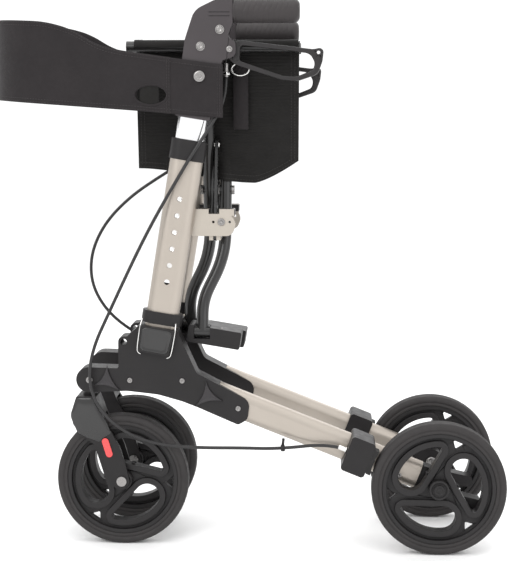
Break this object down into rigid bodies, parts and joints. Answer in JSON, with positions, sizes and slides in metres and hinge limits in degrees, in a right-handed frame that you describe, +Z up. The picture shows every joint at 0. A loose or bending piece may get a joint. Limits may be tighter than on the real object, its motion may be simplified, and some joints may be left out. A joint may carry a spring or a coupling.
{
  "type": "rollator walker",
  "caption": "Folding four-wheeled walking frame with scissor cross, folding fabric seat, backrest strap, height-adjustable handles, cable brakes and caster front wheels.",
  "frame": {"origin": "on the floor under the middle of the folded walker", "axes": "+X rearward towards the user, +Y to the walker right, +Z up"},
  "size_m": [0.768, 0.2326, 0.8165],
  "materials": {
    "champagne_tube": "satin anodised champagne",
    "champagne_plate": "brushed champagne",
    "bright_tube": "bright polished aluminium",
    "black_plastic": "fine moulded texture",
    "glossy_latch": "glossy",
    "grey_plastic": "soft moulded texture",
    "grip_rubber": "soft grip",
    "steel": "zinc plated",
    "brake_pad": "matt",
    "lever_plastic": "glass-filled",
    "cable_sleeve": "smooth sleeve",
    "link_steel": "black powder coat",
    "seat_fabric": "ribbed woven",
    "strap_fabric": "padded woven",
    "wheel_plastic": "moulded",
    "tyre": "soft solid tyre",
    "red_reflector": "prismatic",
    "black_tube": "black powder coat"
  },
  "bodies": {
    "left_frame": {"main_tube_left": "champagne_tube", "tube_collar_left": "black_plastic", "base_joint_left": "black_plastic", "socket_latch_left": "glossy_latch", "rear_tube_left": "champagne_tube", "brake_housing_left": "black_plastic", "axle_bracket_left": "black_plastic", "pivot_block_left": "black_plastic", "saddle_bracket_left": "champagne_plate", "frame_fasteners_left": "steel", "brake_cable_left": "cable_sleeve"},
    "left_fork": {"fork_left": "black_plastic", "fork_reflector_left": "red_reflector", "front_axle_left": "steel"},
    "left_front_wheel": {"front_rim_left": "wheel_plastic", "front_tyre_left": "tyre"},
    "left_rear_wheel": {"rear_rim_left": "wheel_plastic", "rear_tyre_left": "tyre"},
    "left_handle": {"inner_tube_left": "bright_tube", "column_left": "grey_plastic", "grip_left": "grip_rubber", "handle_fasteners_left": "steel"},
    "left_height_button": {"height_button_left": "steel"},
    "left_brake_lever": {"brake_lever_left": "lever_plastic"},
    "left_brake_shoe": {"brake_shoe_left": "brake_pad"},
    "left_link": {"link_left": "link_steel"},
    "left_seat": {"seat_panel_left": "seat_fabric"},
    "left_strap": {"strap_left": "strap_fabric"},
    "right_frame": {"main_tube_right": "champagne_tube", "tube_collar_right": "black_plastic", "base_joint_right": "black_plastic", "socket_latch_right": "glossy_latch", "rear_tube_right": "champagne_tube", "brake_housing_right": "black_plastic", "axle_bracket_right": "black_plastic", "pivot_block_right": "black_plastic", "saddle_bracket_right": "champagne_plate", "frame_fasteners_right": "steel", "brake_cable_right": "cable_sleeve"},
    "right_fork": {"fork_right": "black_plastic", "fork_reflector_right": "red_reflector", "front_axle_right": "steel"},
    "right_front_wheel": {"front_rim_right": "wheel_plastic", "front_tyre_right": "tyre"},
    "right_rear_wheel": {"rear_rim_right": "wheel_plastic", "rear_tyre_right": "tyre"},
    "right_handle": {"inner_tube_right": "bright_tube", "column_right": "grey_plastic", "grip_right": "grip_rubber", "handle_fasteners_right": "steel"},
    "right_height_button": {"height_button_right": "steel"},
    "right_brake_lever": {"brake_lever_right": "lever_plastic"},
    "right_brake_shoe": {"brake_shoe_right": "brake_pad"},
    "right_link": {"link_right": "link_steel"},
    "right_seat": {"seat_panel_right": "seat_fabric"},
    "right_strap": {"strap_right": "strap_fabric"},
    "cross_a": {"cross_tube_a": "black_tube", "centre_pivot_bolt": "steel"},
    "cross_b": {"cross_tube_b": "black_tube"}
  },
  "joints": [
    {"name": "fold", "type": "hinge", "parent": "left_frame", "child": "cross_a", "pos_m": [-0.072, -0.036, 0.322], "axis": [-1, 0, 0], "range_deg": [0, 53.13], "deforming": ["seat_panel_left", "seat_panel_right", "strap_left", "strap_right"]},
    {"name": "cross_turn", "type": "hinge", "parent": "cross_a", "child": "cross_b", "pos_m": [-0.05115, 0, 0.5355], "axis": [1, 0, 0], "range_deg": [0, 106.27]},
    {"name": "right_frame_turn", "type": "hinge", "parent": "cross_b", "child": "right_frame", "pos_m": [-0.0971, 0.036, 0.322], "axis": [-1, 0, 0], "range_deg": [0, 53.14]},
    {"name": "seat_left_turn", "type": "hinge", "parent": "cross_b", "child": "left_seat", "pos_m": [0, -0.036, 0.749], "axis": [1, 0, 0], "range_deg": [0, 29.46]},
    {"name": "seat_right_turn", "type": "hinge", "parent": "cross_a", "child": "right_seat", "pos_m": [0, 0.036, 0.749], "axis": [-1, 0, 0], "range_deg": [0, 29.46]},
    {"name": "left_link_turn", "type": "hinge", "parent": "left_frame", "child": "left_link", "pos_m": [-0.05115, -0.044, 0.46924], "axis": [-1, 0, 0], "range_deg": [0, 83.1]},
    {"name": "left_caster", "type": "hinge", "parent": "left_frame", "child": "left_fork", "pos_m": [-0.242, -0.064, 0.23], "axis": [0, 0, 1], "range_deg": [-180, 18]},
    {"name": "left_front_wheel_spin", "type": "hinge", "parent": "left_fork", "child": "left_front_wheel", "pos_m": [-0.191, -0.064, 0.1], "axis": [0, 1, 0], "continuous": true},
    {"name": "left_rear_wheel_spin", "type": "hinge", "parent": "left_frame", "child": "left_rear_wheel", "pos_m": [0.284, -0.095, 0.1], "axis": [0, 1, 0], "continuous": true},
    {"name": "right_link_turn", "type": "hinge", "parent": "right_frame", "child": "right_link", "pos_m": [-0.05115, 0.044, 0.46924], "axis": [1, 0, 0], "range_deg": [0, 83.1]},
    {"name": "right_caster", "type": "hinge", "parent": "right_frame", "child": "right_fork", "pos_m": [-0.242, 0.064, 0.23], "axis": [0, 0, -1], "range_deg": [-180, 18]},
    {"name": "right_front_wheel_spin", "type": "hinge", "parent": "right_fork", "child": "right_front_wheel", "pos_m": [-0.191, 0.064, 0.1], "axis": [0, 1, 0], "continuous": true},
    {"name": "right_rear_wheel_spin", "type": "hinge", "parent": "right_frame", "child": "right_rear_wheel", "pos_m": [0.284, 0.095, 0.1], "axis": [0, 1, 0], "continuous": true},
    {"name": "handle_height", "type": "slide", "parent": "left_frame", "child": "left_handle", "axis": [0.1599, 0, 0.9871], "range_m": [0, 0.1], "deforming": ["brake_cable_left", "brake_cable_right"]},
    {"name": "left_height_button_press", "type": "slide", "parent": "left_handle", "child": "left_height_button", "axis": [0, 1, 0], "range_m": [0, 0.004], "stiffness_N_per_m": 400},
    {"name": "left_brake_squeeze", "type": "hinge", "parent": "left_handle", "child": "left_brake_lever", "pos_m": [-0.027, -0.064, 0.744], "axis": [0, -1, 0], "range_deg": [0, 12], "stiffness_Nm_per_rad": 2},
    {"name": "left_brake_shoe_push", "type": "slide", "parent": "left_frame", "child": "left_brake_shoe", "axis": [0.9311, 0, -0.3649], "range_m": [0, 0.0036]},
    {"name": "right_handle_height", "type": "slide", "parent": "right_frame", "child": "right_handle", "axis": [0.1599, 0, 0.9871], "range_m": [0, 0.1001]},
    {"name": "right_height_button_press", "type": "slide", "parent": "right_handle", "child": "right_height_button", "axis": [0, -1, 0], "range_m": [0, 0.004], "stiffness_N_per_m": 400},
    {"name": "right_brake_squeeze", "type": "hinge", "parent": "right_handle", "child": "right_brake_lever", "pos_m": [-0.031, 0.064, 0.71932], "axis": [0, -1, 0], "range_deg": [0, 12], "stiffness_Nm_per_rad": 2},
    {"name": "right_brake_shoe_push", "type": "slide", "parent": "right_frame", "child": "right_brake_shoe", "axis": [0.9311, 0, -0.3649], "range_m": [0, 0.0036]},
    {"name": "strap_left_turn", "type": "hinge", "parent": "left_handle", "child": "left_strap", "pos_m": [-0.0706, -0.0815, 0.7], "axis": [0, 0, -1], "range_deg": [0, 44.04]},
    {"name": "strap_right_turn", "type": "hinge", "parent": "left_strap", "child": "right_strap", "pos_m": [-0.3286, 0, 0.7], "axis": [0, 0, 1], "range_deg": [0, 88.06]}
  ],
  "couplings": [
    {"joint": "cross_turn", "follows": "fold", "ratio": 2},
    {"joint": "right_frame_turn", "follows": "fold", "ratio": 1},
    {"joint": "seat_left_turn", "follows": "fold", "ratio": 0.55414},
    {"joint": "seat_right_turn", "follows": "fold", "ratio": 0.55414},
    {"joint": "left_link_turn", "follows": "fold", "ratio": 1.5638},
    {"joint": "right_link_turn", "follows": "fold", "ratio": 1.5638},
    {"joint": "left_brake_shoe_push", "follows": "left_brake_squeeze", "m_per_rad": 0.01671},
    {"joint": "right_handle_height", "follows": "handle_height", "ratio": 1},
    {"joint": "right_brake_shoe_push", "follows": "right_brake_squeeze", "m_per_rad": 0.01671},
    {"joint": "strap_left_turn", "follows": "fold", "ratio": 0.82859},
    {"joint": "strap_right_turn", "follows": "fold", "ratio": 1.6572}
  ]
}
